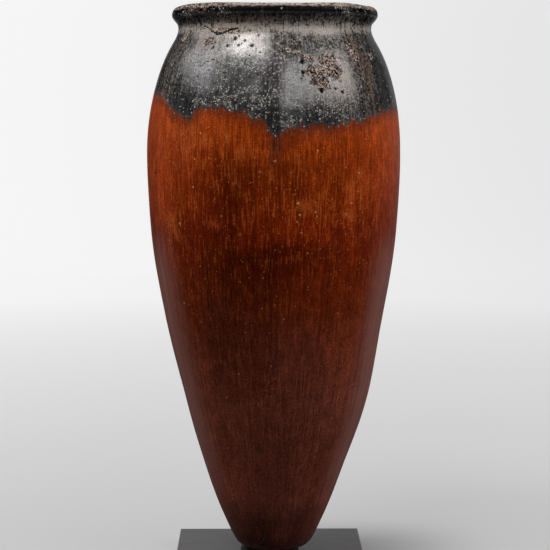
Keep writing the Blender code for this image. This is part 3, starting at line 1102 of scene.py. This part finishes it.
def plate(finish):
    """The square plate, with its edges rounded."""
    low, high = (Vector(corner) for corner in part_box("base_plate"))
    deselect()
    bpy.ops.mesh.primitive_cube_add(size=1, location=(low + high) / 2, scale=high - low)
    piece = added("plate")
    edit_mode(piece, "EDGE")
    bpy.ops.mesh.select_all(action="SELECT")
    bpy.ops.mesh.bevel(offset=finish.edge, segments=3, affect="EDGES")
    select_where(piece, "FACE", lambda face, middle: max(map(abs, face.normal)) > 0.999)
    bpy.ops.mesh.inset(thickness=finish.rub, use_individual=True)
    leave_edit()
    reach = finish.edge * EDGE_REACH
    mark_edges(piece, lambda place: sum(min(place[i] - low[i], high[i] - place[i]) < reach
                                        for i in range(3)) > 1)
    return piece


def mark_edges(piece, on_edge):
    """Stores where a piece's edges are, for its paint to be worn there."""
    layer = piece.data.attributes.new("edge", "FLOAT", "POINT")
    layer.data.foreach_set("value", [float(on_edge(v.co)) for v in piece.data.vertices])


def cup(finish):
    """The low round cup, hollowed to fit the jar's foot."""
    low, high = (Vector(corner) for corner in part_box("foot_cup"))
    radius = (high.x - low.x) / 2
    deselect()
    bpy.ops.mesh.primitive_cylinder_add(vertices=ROUND_SIDES, radius=radius, depth=high.z - low.z,
                                        location=(low + high) / 2)
    piece = added("cup")
    select_where(piece, "EDGE", lambda edge, middle: edge.calc_face_angle(0) > 1)
    bpy.ops.mesh.bevel(offset=finish.edge, segments=3, affect="EDGES")
    select_where(piece, "FACE", lambda face, middle: abs(face.normal.z) < 0.1)
    bpy.ops.mesh.inset(thickness=finish.rub, use_individual=False)
    select_where(piece, "FACE", lambda face, middle: len(face.verts) > 8 and middle.z > high.z - MM)
    shift = (low.x + high.x) / 2
    radii, level = [radius - finish.edge], high.z
    for spread in finish.seat:
        along = np.interp(spread, OUTLINE.fine[:FOOT_POINTS, 0], OUTLINE.along[:FOOT_POINTS])
        seat = float(OUTLINE.at(along)[1]) - finish.gap
        bpy.ops.mesh.inset(thickness=radii[-1] - spread)
        bpy.ops.transform.translate(value=(-shift if len(radii) == 1 else 0, 0,
                                           min(seat, high.z) - level))
        level = min(seat, high.z)
        radii.append(spread)
    leave_edit()
    reach = finish.edge * EDGE_REACH
    mark_edges(piece, lambda place: radius - math.hypot(place.x - shift, place.y) < reach
               and min(place.z - low.z, high.z - place.z) < reach)
    return piece


def paint_group():
    """Old satin paint: grained, finely scratched, dusty, and rubbed thin along the edges."""
    _, (place, paint, rubbed, edge), made = group(
        "Worn paint",
        [("Vector", "Vector", None), ("Colour", "Color", (0.5, 0.5, 0.5, 1.0)),
         ("Worn colour", "Color", (0.7, 0.7, 0.7, 1.0)), ("Edge", "Float", 0.0)],
        [("Color", "Color"), ("Roughness", "Float"), ("Height", "Float")])
    cloud = noise_value(place, 45.0, 3.0)
    grain = noise_value(place, 1300.0, 2.0, 0.6)
    lines = noise_value(vector_math("MULTIPLY", place, (30.0, 700.0, 700.0)), 1.0, 3.0, 0.6)
    worn = (grain * 0.9 + edge).eased(1.05, 1.5)
    colour = vector_math("SCALE", paint, varied((cloud, 0.35), (grain, 0.35), (lines, 0.3)))
    cover = specks(place, 3.0, 0.05, 0.16) * 0.5 | worn
    layered(colour, (cover, rubbed)).into(made["Color"])
    (cloud * 0.18 + worn * 0.12 + 0.32).into(made["Roughness"])
    ((lines + grain) * 0.02 - worn * 0.03).into(made["Height"])


def paint_material(name, colour, worn):
    """The worn paint in one colour."""
    shader, tree, surface = new_material(name, 0.42)
    paint = placed("Worn paint", {"Vector": object_place(tree), "Colour": colour,
                                  "Worn colour": worn, "Edge": stored(tree, "edge")})
    connect(surface, Signal(paint, "Height"), Base_Color=Signal(paint, "Color"),
            Roughness=Signal(paint, "Roughness"))
    return shader


class JAR_OT_stand(bpy.types.Operator):
    """Finish the cup and the plate that hold the jar up"""

    bl_idname = "jar.build_stand"
    bl_label = "Stand"

    def execute(self, context):
        finish = context.scene.jar_stand
        black_worn = [c * CUP_SHARE for c in finish.worn]
        for make, node, slot, colour, worn in (
                (cup, "foot_cup", "cup_paint", finish.cup, black_worn),
                (plate, "base_plate", "plate_paint", finish.plate, finish.worn)):
            piece = make(finish)
            take_up(piece)
            bpy.ops.object.shade_smooth_by_angle(angle=math.radians(40))
            piece.data.materials.append(paint_material(node + " paint", colour, worn))
            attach(piece, "root")
            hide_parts(node)
        return {"FINISHED"}


def sweep(studio):
    """A pale floor that curves up all round into a wall; only the part behind lights the jar."""
    deselect()
    bpy.ops.mesh.primitive_circle_add(vertices=ROUND_SIDES, radius=studio.floor_radius,
                                      fill_type="NGON", location=(0, 0, 0))
    piece = added("backdrop")
    edit_mode(piece)
    bpy.ops.mesh.select_all(action="SELECT")
    angles = np.radians(np.linspace(0, 90, COVE_STEPS + 1)[1:])
    radii = [studio.floor_radius, *(studio.floor_radius + studio.cove * np.sin(angles))]
    levels = [0, *(studio.cove * (1 - np.cos(angles)))]
    radii.append(radii[-1])
    levels.append(studio.wall)
    for i in range(1, len(radii)):
        bpy.ops.mesh.extrude_region_move(
            TRANSFORM_OT_translate={"value": (0, 0, levels[i] - levels[i - 1])})
        bpy.ops.transform.resize(value=(radii[i] / radii[i - 1], radii[i] / radii[i - 1], 1))
    bpy.ops.mesh.delete(type="ONLY_FACE")
    bpy.ops.mesh.select_all(action="SELECT")
    bpy.ops.mesh.normals_make_consistent(inside=True)
    select_where(piece, "FACE", lambda face, middle: len(face.verts) > 9 or middle.y < 0
                 or -middle.x > middle.y * math.tan(studio.behind[0])
                 or middle.x > middle.y * math.tan(studio.behind[1]))
    bpy.ops.mesh.separate(type="SELECTED")
    leave_edit()
    around = next(part for part in bpy.context.selected_objects if part != piece)
    around.name = around.data.name = "backdrop_around"
    around.visible_glossy = around.visible_diffuse = False
    return piece, around


def backdrop_material(studio):
    """Paper that glows a little, as if lit from behind, brighter towards its left, with a painted
    shadow on the floor right of the stand.
    """
    shader, tree, surface = new_material("Backdrop paper", 1.0, Specular_IOR_Level=0.0,
                                         Base_Color=opaque(studio.paper), Emission_Strength=1.0)
    x, y, z = parts(object_place(tree))
    away = add_node(tree, "ShaderNodeVectorMath", {0: joined(tree, X=x, Y=y)}, operation="LENGTH")
    glow = Signal(add_node(tree, "ShaderNodeMapRange", {
        "Value": Signal(away, "Value"), "From Min": 0.05, "From Max": 1.7,
        "To Min": studio.floor_glow, "To Max": studio.wall_glow}))
    side = x.eased(-0.8, 0.8, 1.0 + studio.glow_lean, 1.0 - studio.glow_lean)
    mirror = Signal(add_node(tree, "ShaderNodeLightPath"), "Is Glossy Ray")
    axes = {"x": x, "y": y, "z": z}
    shade = math.prod(axes[axis].eased(*span) for axis, *span in SHADE_EDGES)
    glow = glow * side * (1.0 - mirror * (1 - studio.mirrored)) * (1.0 - shade * studio.shade)
    glow.into(surface.inputs["Emission Color"])
    return shader


def soft_box(name, radiance, mirrored, turn, half_width, low, high, distance):
    """A glowing panel that the shoulder sees between two angles above the horizon.

    It faces the jar's axis, and the camera itself doesn't see it.
    """
    turn = math.radians(turn)
    bottom, top = (SHOULDER_SEEN + distance * math.tan(math.radians(a)) for a in (low, high))
    middle = (bottom + top) / 2
    data = bpy.data.lights.new(name, "AREA")
    data.shape = "RECTANGLE"
    data.size = 2 * distance * math.tan(math.radians(half_width))
    data.size_y = top - bottom
    data.energy = radiance * WATTS_FOR_RADIANCE * data.size * data.size_y
    lamp = bpy.data.objects.new(name, data)
    lamp.location = (math.sin(turn) * distance, -math.cos(turn) * distance, middle)
    away = lamp.location - Vector((0, 0, middle))
    lamp.rotation_euler = away.to_track_quat("Z", "Y").to_euler()
    lamp.visible_camera = False
    lamp.visible_glossy = mirrored
    bpy.context.scene.collection.objects.link(lamp)


class JAR_OT_studio(bpy.types.Operator):
    """Set up the camera, the lights and the backdrop"""

    bl_idname = "jar.build_studio"
    bl_label = "Studio"

    def execute(self, context):
        scene = context.scene
        studio = scene.jar_studio
        view = PhotoView(studio)
        camera = bpy.data.objects.new("camera", bpy.data.cameras.new("camera"))
        camera.data.lens = studio.lens
        camera.location = view.place
        camera.rotation_euler = view.ahead.to_track_quat("-Z", "Y").to_euler()
        scene.collection.objects.link(camera)
        scene.camera = camera
        scene.view_settings.view_transform = "Standard"
        paper = backdrop_material(studio)
        for piece in sweep(studio):
            take_up(piece)
            bpy.ops.object.shade_smooth()
            piece.data.materials.append(paper)
        for name, (setting, share, mirrored, *place) in SOFT_BOXES.items():
            soft_box(name, getattr(studio, setting) * share, mirrored, *place)
        world = bpy.data.worlds.new("room")
        world.use_nodes = True
        background = world.node_tree.nodes["Background"]
        background.inputs["Color"].default_value = (1, 1, 1, 1)
        background.inputs["Strength"].default_value = studio.room_light
        scene.world = world
        return {"FINISHED"}


class JAR_PT_panel(bpy.types.Panel):
    """Sizes, colours and the steps that build the jar"""

    bl_label = "Black-topped jar"
    bl_idname = "JAR_PT_panel"
    bl_space_type = "VIEW_3D"
    bl_region_type = "UI"
    bl_category = "Jar"

    def draw(self, context):
        scene = context.scene
        for title, settings in (("Shape", scene.jar_shape), ("Clay", scene.jar_colours),
                                ("Stand", scene.jar_stand), ("Studio", scene.jar_studio)):
            box = self.layout.box()
            box.label(text=title)
            for name in settings.__annotations__:
                box.prop(settings, name)
        for step in STEPS:
            self.layout.operator(step.bl_idname)


STEPS = (JAR_OT_jar, JAR_OT_stand, JAR_OT_studio)
SETTINGS = {"jar_shape": JarShape, "jar_colours": JarColours, "jar_stand": StandFinish,
            "jar_studio": StudioSettings}


def register():
    for kind in (*SETTINGS.values(), *STEPS, JAR_PT_panel):
        bpy.utils.register_class(kind)
    for name, kind in SETTINGS.items():
        setattr(bpy.types.Scene, name, PointerProperty(type=kind))


def unregister():
    for name in SETTINGS:
        delattr(bpy.types.Scene, name)
    for kind in reversed((*SETTINGS.values(), *STEPS, JAR_PT_panel)):
        bpy.utils.unregister_class(kind)


def main():
    register()
    stroke_group()
    speck_group()
    paint_group()
    bpy.ops.jar.build_jar()
    bpy.ops.jar.build_stand()
    bpy.ops.jar.build_studio()


if __name__ == "__main__":
    main()
